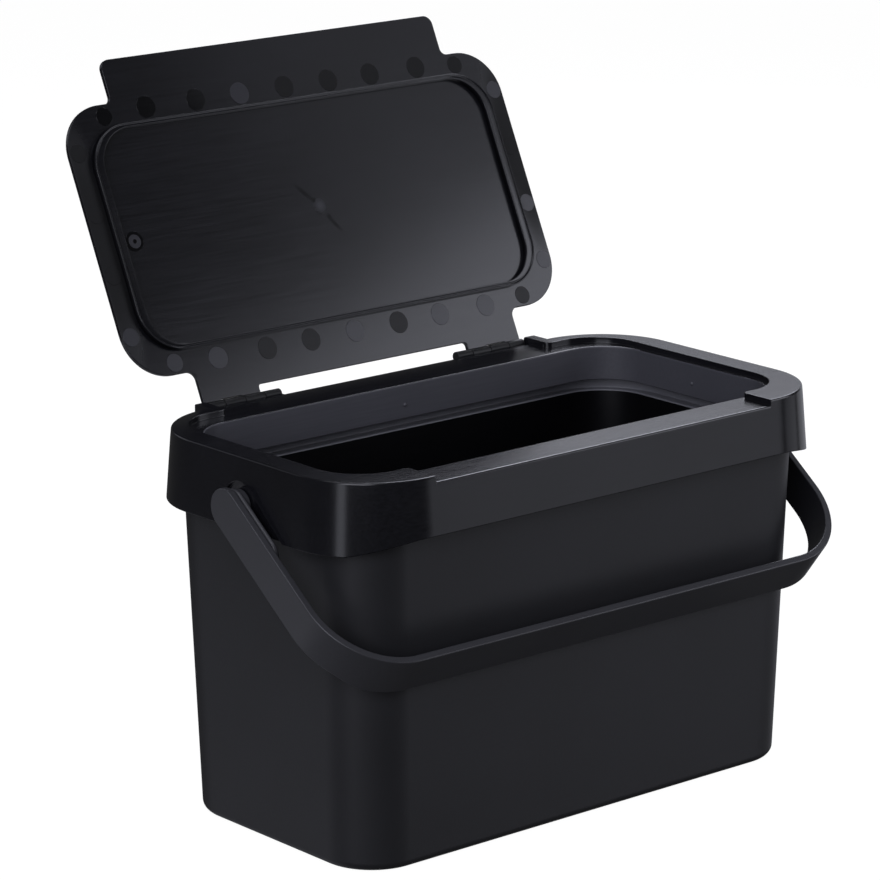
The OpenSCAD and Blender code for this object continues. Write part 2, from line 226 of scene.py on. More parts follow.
def makeSatinPolypropylene(name, roughness, marks=None, colours=None):
    # marks are soft spots on the lid, placed in mm from its gate; colours are the dark and the pale tone
    values = satinPlastic
    dark, pale = colours or (values["colour"], values["pale"])
    material = bpy.data.materials.new(name)
    material.use_nodes = True
    tree = material.node_tree
    shader = tree.nodes["Principled BSDF"]
    shader.inputs["IOR"].default_value = 1.49
    place = addNode(tree, "ShaderNodeTexCoord")
    # 0.9 mm is several times the width of real stoning lines, so that they show at the photograph's distance
    across, along = 1000 / values["lineMm"], 1000 / values["lineLengthMm"]
    stretch = addNode(tree, "ShaderNodeMapping", {"Scale": (along, across, across)},
                      {"Vector": place.outputs["Object"]})
    lines = addNode(tree, "ShaderNodeTexNoise", {"Scale": 1, "Detail": 1, "Roughness": 0.5},
                    {"Vector": stretch.outputs["Vector"]})
    cloud = addNode(tree, "ShaderNodeTexNoise", {"Scale": 1000 / values["cloudMm"], "Detail": 3},
                    {"Vector": place.outputs["Object"]})
    blend = addNode(tree, "ShaderNodeMath", {"operation": "MULTIPLY"},
                    {0: lines.outputs["Fac"], 1: cloud.outputs["Fac"]})
    tone = addNode(tree, "ShaderNodeMix", {"data_type": "RGBA"}, {"Factor": blend.outputs["Value"]})
    tone.inputs[6].default_value = linearColour(dark)
    tone.inputs[7].default_value = linearColour(pale)
    gloss = addNode(tree, "ShaderNodeMapRange", {"To Min": roughness - 0.03, "To Max": roughness + 0.03},
                    {"Value": lines.outputs["Fac"]})
    relief = addNode(tree, "ShaderNodeBump", {"Strength": values["relief"], "Distance": values["lineDepthMm"] / 1000},
                     {"Height": lines.outputs["Fac"]})
    colourOut, roughOut = tone.outputs[2], gloss.outputs["Result"]
    tree.links.new(relief.outputs["Normal"], shader.inputs["Normal"])
    for mark in marks or []:
        plate = addNode(tree, "ShaderNodeAttribute", {"attribute_name": "plate"})
        local = addNode(tree, "ShaderNodeMapping",
                        {"vector_type": "TEXTURE", "Location": (mark["x"] / 1000, mark["y"] / 1000, 0),
                         "Rotation": (0, 0, math.radians(mark["turn"])),
                         "Scale": (mark["length"] / 1000, mark["width"] / 1000, 1)},
                        {"Vector": plate.outputs["Vector"]})
        reach = addNode(tree, "ShaderNodeVectorMath", {"operation": "LENGTH"}, {0: local.outputs["Vector"]})
        fade = addNode(tree, "ShaderNodeMapRange",
                       {"interpolation_type": "SMOOTHSTEP", "From Min": mark["core"], "From Max": 1,
                        "To Min": mark["amount"], "To Max": 0}, {"Value": reach.outputs["Value"]})
        spot = addNode(tree, "ShaderNodeMix", {"data_type": "RGBA"}, {"Factor": fade.outputs["Result"]})
        tree.links.new(colourOut, spot.inputs[6])
        spot.inputs[7].default_value = linearColour(mark["colour"])
        dull = addNode(tree, "ShaderNodeMath", {"operation": "MULTIPLY_ADD", 1: mark["dull"]},
                       {0: fade.outputs["Result"], 2: roughOut})
        colourOut, roughOut = spot.outputs[2], dull.outputs["Value"]
    tree.links.new(colourOut, shader.inputs["Base Color"])
    tree.links.new(roughOut, shader.inputs["Roughness"])
    return material


grainedPolypropylene = makeGrainedPolypropylene()
satinPolypropylene = makeSatinPolypropylene("moulded polypropylene, satin", satinPlastic["roughness"])
# the strap's outer side is paler and softer than the lid, partly its own tone and partly painted light; its inner side
# is painted darker as painted shade
strapPaintedLightPolypropylene = makeSatinPolypropylene("moulded polypropylene, satin strap, painted light", 0.38,
                                             colours=("#38383b", "#444448"))
strapPaintedShadePolypropylene = makeSatinPolypropylene("moulded polypropylene, inner side of the strap", 0.45,
                                            colours=("#1a1a1d", "#222226"))
# the core side of the tools is duller in the mouth and on the shoulder, and both are painted paler as painted light
# that falls in through the mouth; inside the bucket it is glossier and painted near black as painted shade
mouthPaintedLightPolypropylene = makeSatinPolypropylene("moulded polypropylene, dull mouth wall with painted light", 0.5,
                                           colours=("#45454b", "#57575d"))
shoulderPaintedLightPolypropylene = makeSatinPolypropylene("moulded polypropylene, shoulder with painted light", 0.4,
                                               colours=("#707076", "#808086"))
# painted shade: the inside of the bucket is painted near black
insidePaintedShadePolypropylene = makeSatinPolypropylene("moulded polypropylene, polished inside with painted shade", 0.3,
                                               colours=("#08080a", "#0c0c0e"))
# eroded pin ends and hinge knuckles are black and matt, without a streak
dullMarks = makeSatinPolypropylene("moulded polypropylene, dull marks and knuckles", 0.5,
                                   colours=("#08080a", "#0e0e11"))
print("plastics ready")


bucket = dict(halfX=123.5, halfY=62.4, cornerRadius=24.7, lean=math.tan(math.radians(1.6)), wall=2, baseRound=4,
              shoulder=144.4, rimX=132.23, rimY=71.13, rimRadius=34.8, rimTop=163.8, rimWall=1.8, edge=0.5,
              footRing=9, footDepth=0.6, footSlope=1.2, footEdge=(0.3, 0.1), underRound=0.6, lipRound=0.7,
              floorRound=2.5, gateRadius=1.6, gateHeight=0.5)


def bucketPath(column):
    # from the base's middle over the outside, round the rim and down the inside
    values = bucket

    def wall(inset, height):
        grown = values["lean"] * height - inset
        x, y = values["halfX"] + grown, values["halfY"] + grown
        return outlinePlace(column, x, -y, y, values["cornerRadius"] - inset, height)

    def rim(inset, height):
        x, y = values["rimX"] - inset, values["rimY"] - inset
        return outlinePlace(column, x, -y, y, values["rimRadius"] - inset, height)

    thick, edge = values["wall"], values["edge"]
    foot = values["baseRound"] + values["footRing"]
    edgeIn, edgeUp = values["footEdge"]
    path = [wall(foot + values["footSlope"], values["footDepth"]), wall(foot + edgeIn, edgeUp), wall(foot, 0)]
    path += [wall(*p) for p in roundTurn((0, 0), inward, up, values["baseRound"], 8)]
    under = values["shoulder"] - thick
    path += [wall(*p) for p in roundTurn((0, under), down, outward, values["underRound"], 3)]
    path += [rim(*p) for p in roundTurn((0, under), inward, up, edge, 3)]
    path += [rim(*p) for p in roundTurn((0, values["rimTop"]), down, inward, edge, 3)]
    path += [rim(*p) for p in roundTurn((values["rimWall"], values["rimTop"]), outward, down, edge, 3)]
    path += [rim(*p) for p in roundTurn((values["rimWall"], values["shoulder"]), up, inward, edge, 3)]
    path += [wall(*p) for p in roundTurn((thick, values["shoulder"]), outward, down, values["lipRound"], 4)]
    path += [wall(*p) for p in roundTurn((thick, thick), up, inward, values["floorRound"], 6)]
    return path


columns = wallColumns([-60, 0, 60], [-60, 0, 60], [-20, 0, 20], 22)
bm = wrapWall(columns, [bucketPath(c) for c in columns], closed=False)
# the gate that the plastic came in through leaves a small nub under the base
place = Matrix.Translation((0, 0, bucket["footDepth"])) @ Matrix.Rotation(math.pi, 4, "X")
bmesh.ops.create_cone(bm, cap_ends=True, segments=24, radius1=bucket["gateRadius"],
                      radius2=bucket["gateRadius"] * 0.7, depth=bucket["gateHeight"], matrix=place)
bucketPiece = meshObject("bucketShell", bm)
# slot 1 is the shoulder inside the rim, painted pale as painted light; slot 2 the inner walls and floor, painted near
# black as painted shade
for face in bucketPiece.data.polygons:
    x, y, z = face.center
    facesIn = face.normal.x * x + face.normal.y * y < -0.01
    inRim = abs(x) < bucket["rimX"] - 0.9 and abs(y) < bucket["rimY"] - 0.9
    if z > bucket["shoulder"] - 0.9 and inRim and (facesIn or face.normal.z > 0.5):
        face.material_index = 1
    elif facesIn or 1.2 < z < 10 and face.normal.z > 0.5:
        face.material_index = 2
finishPiece(bucketPiece, [grainedPolypropylene, shoulderPaintedLightPolypropylene, insidePaintedShadePolypropylene],
            "base", "bucket")


collar = dict(halfX=134.73, halfY=73.634, cornerRadius=37.3, top=168.6, bottom=138, flare=2.4, skirt=2.2,
              landUnder=166.4, shelf=166.0, shelfUnder=163.8, recessX=122.73, recessFront=-55.93, recessBack=66.63,
              recessRadius=21.7, mouthX=120.43, mouthFront=-55.33, mouthBack=58.23, mouthRadius=21,
              mouthBottom=150.6, mouthWall=2, archRise=6, archStart=100.13, archRun=30, archPower=1.6,
              topEdge=0.9, shelfEdge=0.4, edge=0.5, ledgeRound=0.7, frontLedge=0.28, cornerLedge=0.5,
              tabHalf=94.0, tabRound=2.3, hingeHalf=91.05, hingeRound=2.95, hingeWall=5.4, shelfReach=5.696,
              wallReach=9.3, shelfFoot=0.6, innerFoot=0.4, stepTop=0.35, stepFoot=0.25,
              gateNub=1.0, gateHeight=156.8, sideGateY=3)
# neck and foot hold each lug to the collar, as lowest and highest (y, z)
hinge = dict(y=82.934, z=165.6, barrelRadius=2.3, pinRadius=1.25, pinGap=0.05, lugs=((50.4, 59.0), (70.1, 80.7)),
             neck=((77.9, 163.32), (82.934, 165.97)), foot=((72.4, 161.0), (80.53, 164.3)),
             lugFront=80.5, barrels=((59.35, 69.75), (81.05, 90.0)), clipMouth=2.0)
pivot = dict(y=1.5, z=148.0, hang=37.2965, pocketRadius=10, pocketRun=60, pocketReach=141, rimRound=0.4,
             padRadius=11.8, padRun=40, padIn=132.53, padCut=138.03, floor=134.33, studRadius=4, studGap=0.05,
             bossRadius=7)


def archHeight(x):
    # the skirt's lower edge rises between the corners
    share = min(max((abs(x) - collar["archStart"]) / collar["archRun"], 0), 1)
    return collar["bottom"] + collar["archRise"] * (1 - share ** collar["archPower"])


def cornerShift(across, radius):
    # how far a round corner of the land has drawn back at a distance from its side
    return radius - math.sqrt(max(radius ** 2 - (radius - min(across, radius)) ** 2, 0))


def landStops(place, radius, low, high, edge=0.3):
    # columns across the step from a low shelf to the land, whose corner is round
    near = dict(low, shift=radius)
    stops = [(place - 0.5, dict(low)), (place - 0.25, near), (place - 0.1, dict(near, top=low["top"] + 0.06)),
             (place - 0.03, dict(near, top=low["top"] + 0.15))]
    for i in range(4):
        angle = math.pi / 2 * i / 3
        across = edge * (1 - math.cos(angle))
        stops.append((place + across, dict(high, top=high["top"] - edge * (1 - math.sin(angle)),
                                           shift=cornerShift(across, radius))))
    for i in range(1, 7):
        across = radius * (1 - math.cos(math.pi / 2 * i / 6))
        if across > edge + 0.05:
            stops.append((place + across, dict(high, shift=cornerShift(across, radius))))
    return stops


def mirrored(stops):
    return [(-x, note) for x, note in stops[::-1]]


values = collar
tabLow = dict(top=values["shelf"], under=values["shelfUnder"])
land = dict(top=values["top"], under=values["landUnder"])
tabSide = landStops(values["tabHalf"], values["tabRound"], tabLow, land)
middle = (-70, -40, 0, 40, 70)
frontStops = mirrored(tabSide) + [(x, tabLow) for x in middle] + tabSide

shelfLow = dict(top=values["shelf"], under=values["shelfUnder"], reach=values["shelfReach"])
wallHigh = dict(top=values["top"], under=values["shelfUnder"], reach=values["wallReach"])
hingeSide = landStops(values["hingeHalf"], values["hingeRound"], shelfLow, wallHigh)
wallEnd = values["hingeHalf"] + values["hingeWall"]
hingeSide += [(wallEnd - 0.3, dict(wallHigh)), (wallEnd - 0.09, dict(wallHigh, reach=values["wallReach"] - 0.09)),
              (wallEnd, dict(wallHigh, reach=values["wallReach"] - 0.3)), (wallEnd + 0.03, dict(land))]
backStops = mirrored(hingeSide) + [(x, shelfLow) for x in middle] + hingeSide


def collarPath(column):
    # from the skirt's edge up the outside, over the land, down the mouth and back under to the skirt
    values, note = collar, column[2]
    top, under = note.get("top", values["top"]), note.get("under", values["landUnder"])
    reach, shift = note.get("reach", 0), note.get("shift", 0)

    def grown(height):
        return values["flare"] * (values["top"] - height) / (values["top"] - values["bottom"])

    def outer(inset, height):
        x, y = values["halfX"] - inset, values["halfY"] - inset
        return outlinePlace(column, x, -y, y, values["cornerRadius"] - inset, height)

    def recess(inset, height):
        return outlinePlace(column, values["recessX"] - inset, values["recessFront"] + inset - shift,
                            values["recessBack"] - inset + shift, values["recessRadius"] - inset, height)

    def mouth(inset, height):
        return outlinePlace(column, values["mouthX"] - inset, values["mouthFront"] + inset,
                            values["mouthBack"] - inset, values["mouthRadius"] - inset, height)

    edge, shelf, innerFoot = values["edge"], values["shelf"], values["innerFoot"]
    low = archHeight(outer(-values["flare"], 0).x)
    lowIn = archHeight(outer(0, 0).x)
    base = values["shelfUnder"]
    foot = grown(base)
    room = max(reach - foot, 0)
    face = reach if reach else grown(top)
    step = (top - shelf) / 2
    cornerLedge = values["cornerLedge"]
    ledge = dict(front=values["frontLedge"], frontRight=cornerLedge, frontLeft=cornerLedge).get(
        column[0], values["ledgeRound"])
    topEdge = values["shelfEdge"] if reach and top < 167 else values["topEdge"]
    path = [outer(*p) for p in roundTurn((-grown(low), low), inward, up, edge)]
    path += [outer(*p) for p in roundTurn((-foot, base), down, outward, min(values["shelfFoot"], room / 2))]
    path += [outer(*p) for p in roundTurn((-foot - room, base), inward, up, min(innerFoot, room / 2))]
    path += [outer(*p) for p in roundTurn((-face, top), down, inward, topEdge, 5)]
    path += [recess(*p) for p in roundTurn((0, top), outward, down, min(values["stepTop"], step))]
    path += [recess(*p) for p in roundTurn((0, shelf), up, inward, min(values["stepFoot"], step))]
    path += [mouth(*p) for p in roundTurn((0, shelf), outward, down, ledge)]
    path += [mouth(*p) for p in roundTurn((0, values["mouthBottom"]), up, outward, edge)]
    path += [mouth(*p) for p in roundTurn((-values["mouthWall"], values["mouthBottom"]), inward, up, edge)]
    path += [mouth(*p) for p in roundTurn((-values["mouthWall"], base), down, outward, innerFoot)]
    innerFoot = min(innerFoot, (under - base) / 2)
    path += [recess(*p) for p in roundTurn((-values["skirt"] - shift, base), inward, up, innerFoot)]
    path += [outer(*p) for p in roundTurn((values["skirt"] - grown(under), under), inward, down, edge)]
    path += [outer(*p) for p in roundTurn((values["skirt"] - grown(lowIn), lowIn), up, outward, edge)]
    return path


columns = wallColumns(frontStops, backStops, [-30, -15, 0, 15, 30], 26)
bm = wrapWall(columns, [collarPath(c) for c in columns], closed=True)
collarPiece = meshObject("collarShell", bm)


def stadium(radiusOf, side, run, rings, segments=48):
    # pocket outline: a half round about the pivot, drawn out along the hanging strap
    hang = math.radians(pivot["hang"])
    along, across = Vector((0, -math.cos(hang), -math.sin(hang))), Vector((0, -math.sin(hang), math.cos(hang)))
    centre = Vector((0, pivot["y"], pivot["z"]))
    paths = []
    for i in range(segments):
        angle = 2 * math.pi * (i + 0.5) / segments
        a, b = math.cos(angle), math.sin(angle)
        path = []
        for growth, xOf in rings:
            radius = radiusOf + growth
            spot = centre + radius * (a * along + b * across) + (run * along if a > 0 else Vector())
            path.append(Vector((side * xOf(spot.z), spot.y, spot.z)))
        paths.append(path)
    return wrapWall(range(segments), paths, closed=False)


def skirtFace(z):
    # how far out the flared skirt is at a height
    return collar["halfX"] + collar["flare"] * (collar["top"] - z) / (collar["top"] - collar["bottom"])


def joinInto(bm, other):
    # adds one bmesh to another and frees it
    spare = bpy.data.meshes.new("spare")
    other.to_mesh(spare)
    other.free()
    bm.from_mesh(spare)
    bpy.data.meshes.remove(spare)


added = bmesh.new()
# the four gates leave a small round nub in the middle of each mouth wall, sunk a little into it
gateX, gateY = collar["mouthX"], collar["sideGateY"]
for x, y in ((0, collar["mouthBack"]), (0, collar["mouthFront"]), (gateX, gateY), (-gateX, gateY)):
    bmesh.ops.create_uvsphere(added, u_segments=20, v_segments=12, radius=collar["gateNub"],
                              matrix=Matrix.Translation((x * 1.002, y * 1.004, collar["gateHeight"])))
for side in (-1, 1):
    for low, high in hinge["lugs"]:
        ends = sorted((side * low, side * high))
        addBar(added, hinge["barrelRadius"], ends[0], ends[1], hinge["y"], hinge["z"])
        addBlock(added, (ends[0], *hinge["neck"][0]), (ends[1], *hinge["neck"][1]), 0.15)
        addBlock(added, (ends[0], *hinge["foot"][0]), (ends[1], *hinge["foot"][1]))
    rings = [(-0.3, lambda z: pivot["padIn"]), (0, lambda z: pivot["padIn"] + 0.3), (0, lambda z: pivot["floor"] + 0.6)]
    pad = stadium(pivot["padRadius"], side, pivot["padRun"], rings)
    cut = bmesh.ops.bisect_plane(pad, geom=pad.verts[:] + pad.edges[:] + pad.faces[:],
                                 plane_co=(0, 0, pivot["padCut"]), plane_no=(0, 0, -1), clear_outer=True)["geom_cut"]
    bmesh.ops.edgeloop_fill(pad, edges=[e for e in cut if isinstance(e, bmesh.types.BMEdge)])
    joinInto(added, pad)
combine(collarPiece, meshObject("collar additions", added), "UNION")
print("collar lugs and pads joined")

removed = bmesh.new()
for side in (-1, 1):
    # the handle's pocket, its bore, and the slot that the lid's pin snaps through
    rim = pivot["rimRound"]
    rings = [(-0.3, lambda z: pivot["floor"]), (-0.09, lambda z: pivot["floor"] + 0.09),
             (0, lambda z: pivot["floor"] + 0.3)]
    for i in range(5):
        angle = math.pi / 2 * i / 4
        rings.append((rim * (1 - math.cos(angle)), lambda z, a=angle: skirtFace(z) - rim * (1 - math.sin(a)) + 0.01))
    rings.append((rim, lambda z: pivot["pocketReach"]))
    joinInto(removed, stadium(pivot["pocketRadius"], side, pivot["pocketRun"], rings))
    ends = sorted((side * (pivot["padIn"] - 1), side * (pivot["floor"] + 1)))
    addBar(removed, pivot["studRadius"] + pivot["studGap"], ends[0], ends[1], pivot["y"], pivot["z"], 0)
    low, high = hinge["lugs"][1]
    ends = sorted((side * (low - 0.2), side * (high + 0.2)))
    addBar(removed, hinge["pinRadius"] + hinge["pinGap"], ends[0], ends[1], hinge["y"], hinge["z"], 0)
    mouth = hinge["clipMouth"] / 2
    addBlock(removed, (ends[0], hinge["y"], hinge["z"] - mouth), (ends[1], hinge["y"] + 4, hinge["z"] + mouth), 0)
combine(collarPiece, meshObject("collar openings", removed), "DIFFERENCE")
# slot 1 is the mouth wall, painted paler as painted light; slot 2 the lugs
for face in collarPiece.data.polygons:
    x, y, z = face.center
    inMouth = abs(x) < collar["mouthX"] + 0.3 and collar["mouthFront"] - 0.3 < y < collar["mouthBack"] + 0.3
    if inMouth and collar["mouthBottom"] < z < collar["shelf"] - 0.1:
        face.material_index = 1
    elif y > hinge["lugFront"] and abs(x) < hinge["barrels"][1][1]:
        face.material_index = 2
finishPiece(collarPiece, [satinPolypropylene, mouthPaintedLightPolypropylene, dullMarks], "base", "collar")


lid = dict(under=166.2, thick=2.1, halfX=122.03, front=-55.23, back=65.93, radius=21, edge=0.3, open=115.3,
           tabHalf=93.3, tabFront=-74.53, tabRadius=4.5, tabInner=3.0,
           flapHalf=90, flapBack=81.234, flapRadius=0.8, flapInner=4.0, cutBack=80.284, cutRadius=0.4,
           slotBack=77.034, slotRadius=1.7, slotCorner=0.5,
           ringX=112.23, ringFront=-45.43, ringBack=56.13, ringRadius=20, ringSide=4.5, ringRun=2.2, ringHigh=2.6,
           ringEdge=0.3, groove=((0.65, 0), (0.85, 0.4), (1.35, 0.4), (1.55, 0)))
# rows are distances from the hinge; small ones stand at the ends of a row and along the short sides
ejectors = dict(big=5.0, small=4.1, proud=0.15, edge=0.13, rowBig=(0, 25, 49.2, 76.2), rowSmall=99, hingeRow=20.6,
                hingeShift=-1.4, hingePale=(-99, -76.2, 0, 49.2, 76.2), tabRow=134.2, tabShift=1.5, tabPale=(-25,),
                sideX=117.4, sideRows=(36.3, 63.7, 91, 118.4), paleSide={1: (36.3, 63.7, 118.4), -1: (36.3,)})
# a plain dial that the tool leaves, as (radius, height, edge) from the outside in
dial = dict(x=-101.7, row=76.8, steps=((4.5, 0.14, 0.1), (3.1, 0.22, 0.06), (1.0, 0.34, 0.1)))
gate = dict(x=0.6, row=77.6, radius=3.0, high=0.1, edge=0.08)

# Soft spots in the lid's underside. Plastic that froze first round the gate is blacker in two streaks with a
# dot at each inner end, and paler in the middle; the black, matt bands along the short sides are painted shade.
streak = dict(amount=1, dull=-0.1, colour="#030304")
flowAndShadeMarks = [dict(x=0.7, y=-1.1, turn=48, length=4.5, width=4.5, core=0, amount=0.8, dull=-0.04, colour="#45454a"),
             dict(streak, x=-6, y=-7.9, turn=47.5, length=8, width=1.9, core=0),
             dict(streak, x=6, y=8.1, turn=53, length=6.5, width=1.6, core=0),
             dict(streak, x=-2.1, y=-4.0, turn=0, length=1.5, width=1.5, core=0.4),
             dict(streak, x=4.0, y=4.7, turn=0, length=1.5, width=1.5, core=0.4),
             # painted shade: black, matt bands along both short sides, standing in for the borders' dark reflection
             dict(x=-119.5, y=0, turn=90, length=70, width=13, core=0.35, amount=1, dull=0.5, colour="#050506"),
             dict(x=119.5, y=-12, turn=90, length=60, width=13, core=0.35, amount=1, dull=0.5, colour="#030304")]

# ejector pins leave small lands: polished ends mirror the room, pale ones scatter, eroded ones are black and matt
polishedMarks = makeSatinPolypropylene("moulded polypropylene, polished lands", 0.11, colours=("#08080a", "#101013"))
paleMarks = makeSatinPolypropylene("moulded polypropylene, pale ejector marks", 0.3, colours=("#2c2c31", "#38383e"))
erodedLands = makeSatinPolypropylene("moulded polypropylene, etched lands", 0.72, colours=("#050506", "#08080a"))
plateSlot, polishedSlot, paleSlot, dullSlot, erodedSlot, flowAndShadeSlot = range(6)

values = lid
(innerStart, innerEnd), (outerStart, _) = hinge["barrels"]
half = [(values["tabHalf"], values["tabFront"], values["tabRadius"]),
        (values["tabHalf"], values["front"], values["tabInner"]),
        (values["halfX"], values["front"], values["radius"]),
        (values["halfX"], values["back"], values["radius"]),
        (values["flapHalf"], values["back"], values["flapInner"]),
        (values["flapHalf"], values["flapBack"], values["flapRadius"]),
        (outerStart, values["flapBack"], values["cutRadius"]),
        (outerStart, values["cutBack"], values["cutRadius"]),
        (innerEnd, values["cutBack"], values["cutRadius"]),
        (innerEnd, values["flapBack"], values["cutRadius"]),
        (innerStart, values["flapBack"], values["slotCorner"]),
        (innerStart, values["slotBack"], values["slotRadius"])]
corners = half + [(-x, y, r) for x, y, r in half[::-1]]
bm = bmesh.new()
verts = [bm.verts.new((x, y, lid["under"])) for x, y, _ in corners]
bm.faces.new(verts)
for radius in sorted({r for _, _, r in corners}):
    chosen = [v for v, (_, _, r) in zip(verts, corners) if r == radius]
    bmesh.ops.bevel(bm, geom=chosen, offset=radius, segments=16 if radius > 10 else 8, profile=0.5,
                    affect="VERTICES", material=-1)
lifted = bmesh.ops.extrude_face_region(bm, geom=bm.faces[:] + bm.edges[:] + bm.verts[:], use_keep_orig=True)["geom"]
bmesh.ops.translate(bm, verts=[v for v in lifted if isinstance(v, bmesh.types.BMVert)], vec=(0, 0, lid["thick"]))
bmesh.ops.recalc_face_normals(bm, faces=bm.faces)
rims = [e for e in bm.edges if abs(e.verts[0].co.z - e.verts[1].co.z) < 1e-4]
bmesh.ops.bevel(bm, geom=rims, offset=lid["edge"], segments=3, profile=0.5, affect="EDGES", material=-1)


def ringPath(column):
    # round the rib under the plate, with a groove along its foot
    values = lid
    under, edge = values["under"], values["ringEdge"]
    low = under - values["ringHigh"]

    def outside(inset, height):
        return outlinePlace(column, values["ringX"] - inset, values["ringFront"] + inset, values["ringBack"] - inset,
                            values["ringRadius"] - inset, height)

    def inside(inset, height):
        inX, inY = values["ringSide"] + inset, values["ringRun"] + inset
        return outlinePlace(column, values["ringX"] - inX, values["ringFront"] + inY, values["ringBack"] - inY,
                            values["ringRadius"] - values["ringRun"] - inset, height)

    path = [outside(0, under + 0.4)]
    path += [outside(*p) for p in roundTurn((0, low), up, inward, edge)]
    path += [outside(inset, low + rise) for inset, rise in values["groove"]]
    path += [inside(*p) for p in roundTurn((0, low), outward, up, edge)]
    path.append(inside(0, under + 0.4))
    return path


columns = wallColumns([-80, -40, 0, 40, 80], [-80, -40, 0, 40, 80], [-20, 5, 30], 18)
joinInto(bm, wrapWall(columns, [ringPath(c) for c in columns], closed=True))


def addMark(bm, x, y, radius, height, edge, index):
    # shallow round pad that an ejector pin leaves on the lid's underside
    place = Matrix.Translation((x, y, lid["under"] - height / 2 + 0.1))
    made = bmesh.ops.create_cone(bm, cap_ends=True, segments=48, radius1=radius, radius2=radius,
                                 depth=height + 0.2, matrix=place)["verts"]
    faces = {f for v in made for f in v.link_faces}
    rim = {e for f in faces for e in f.edges if all(abs(v.co.z - (lid["under"] - height)) < 1e-3 for v in e.verts)}
    for face in faces:
        face.material_index = index
    bmesh.ops.bevel(bm, geom=list(rim), offset=edge, segments=2, profile=0.5, affect="EDGES", material=-1)


def plateY(row):
    return hinge["y"] - row


values = ejectors
bigRow = sorted({s * v for v in values["rowBig"] for s in (-1, 1)})
for row in ("tab", "hinge"):
    y, pale = plateY(values[row + "Row"]), values[row + "Pale"]
    marks = [(x, y, values["big"]) for x in bigRow]
    marks += [(x, y + values[row + "Shift"], values["small"]) for x in (-values["rowSmall"], values["rowSmall"])]
    for x, y, radius in marks:
        dark = dullSlot if row == "hinge" else polishedSlot if x < 0 else erodedSlot
        addMark(bm, x, y, radius, values["proud"], values["edge"], paleSlot if x in pale else dark)
for row in values["sideRows"]:
    for side in (-1, 1):
        slot = paleSlot if row in values["paleSide"][side] else erodedSlot
        addMark(bm, side * values["sideX"], plateY(row), values["small"], values["proud"], values["edge"], slot)
for (radius, high, edge), slot in zip(dial["steps"], (polishedSlot, paleSlot, polishedSlot)):
    addMark(bm, dial["x"], plateY(dial["row"]), radius, high, edge, slot)
addMark(bm, gate["x"], plateY(gate["row"]), gate["radius"], gate["high"], gate["edge"], plateSlot)

# hinge pins and knuckles, moulded in one with the lid
before = set(bm.faces)
radius = hinge["barrelRadius"]
for side in (-1, 1):
    ends = sorted((side * hinge["barrels"][0][0], side * hinge["barrels"][1][1]))
    addBar(bm, hinge["pinRadius"], ends[0], ends[1], hinge["y"], hinge["z"], 0.2, 28)
    for low, high in hinge["barrels"]:
        ends = sorted((side * low, side * high))
        addBar(bm, radius, ends[0], ends[1], hinge["y"], hinge["z"])
        addBlock(bm, (ends[0], hinge["y"] - radius, hinge["z"]), (ends[1], hinge["y"], hinge["z"] + radius), 0.15)
for face in set(bm.faces) - before:
    face.material_index = dullSlot
bmesh.ops.recalc_face_normals(bm, faces=bm.faces)
for face in bm.faces:
    if face.material_index == plateSlot and face.normal.z < -0.5:
        face.material_index = flowAndShadeSlot
lidPiece = meshObject("lidPlate", bm)
# the soft spots read their place on the plate, in metres from the gate, as it was before the lid was opened
plate = lidPiece.data.attributes.new("plate", "FLOAT_VECTOR", "POINT")
for vert, value in zip(lidPiece.data.vertices, plate.data):
    value.vector = (vert.co.x / 1000, (vert.co.y - plateY(gate["row"])) / 1000, vert.co.z / 1000)
axis = Vector((0, hinge["y"], hinge["z"]))
opened = Matrix.Rotation(math.radians(-lid["open"]), 4, "X")
lidPiece.data.transform(Matrix.Translation(axis) @ opened @ Matrix.Translation(-axis))
# the underside is the same satin as the outside, with the soft spots and the painted shade of the short sides on it
flowAndShadeSide = makeSatinPolypropylene("moulded polypropylene, gate flow and painted shade", satinPlastic["roughness"], flowAndShadeMarks)
finishPiece(lidPiece, [satinPolypropylene, polishedMarks, paleMarks, dullMarks, erodedLands, flowAndShadeSide],
            "lid", "lid")


handle = dict(outX=144.03, thick=3.3, width=17.2, bend=36, reach=97.334, edge=0.55, bendSteps=28, runSteps=12,
              drop=2.3, dropFrom=32, dropOver=30, padRadius=7.6, padRun=26, padIn=137.4)
values = handle
# One arm and half the grip are made lying along -Y, then mirrored and turned to hang. The arm is a flat plate
# with a round end, the bend is spun from its lower edge, and the grip runs on from there to the middle.
inX, halfWidth = values["outX"] - values["thick"], values["width"] / 2
bendY = values["bend"] - values["reach"]
bm = bmesh.new()
place = Matrix.Translation((inX, (bendY + halfWidth) / 2, 0)) @ Matrix.Rotation(math.pi / 2, 4, "Y") \
    @ Matrix.Diagonal((values["width"], halfWidth - bendY, 1, 1))
verts = bmesh.ops.create_grid(bm, x_segments=1, y_segments=1, size=0.5, matrix=place)["verts"]
bmesh.ops.bevel(bm, geom=[v for v in verts if v.co.y > 0], offset=halfWidth * 0.999, segments=18, profile=0.5,
                affect="VERTICES", material=-1)
lifted = bmesh.ops.extrude_face_region(bm, geom=bm.faces[:] + bm.edges[:] + bm.verts[:], use_keep_orig=True)["geom"]
bmesh.ops.translate(bm, verts=[v for v in lifted if isinstance(v, bmesh.types.BMVert)], vec=(values["thick"], 0, 0))
bmesh.ops.recalc_face_normals(bm, faces=bm.faces)
rims = [e for e in bm.edges
        if abs(e.verts[0].co.x - e.verts[1].co.x) < 1e-4 and max(v.co.y for v in e.verts) > bendY + 0.01]
bmesh.ops.bevel(bm, geom=rims, offset=values["edge"], segments=4, profile=0.5, affect="EDGES", material=-1)
end = [f for f in bm.faces if all(abs(v.co.y - bendY) < 1e-3 for v in f.verts)]
endParts = end + list({e for f in end for e in f.edges}) + list({v for f in end for v in f.verts})
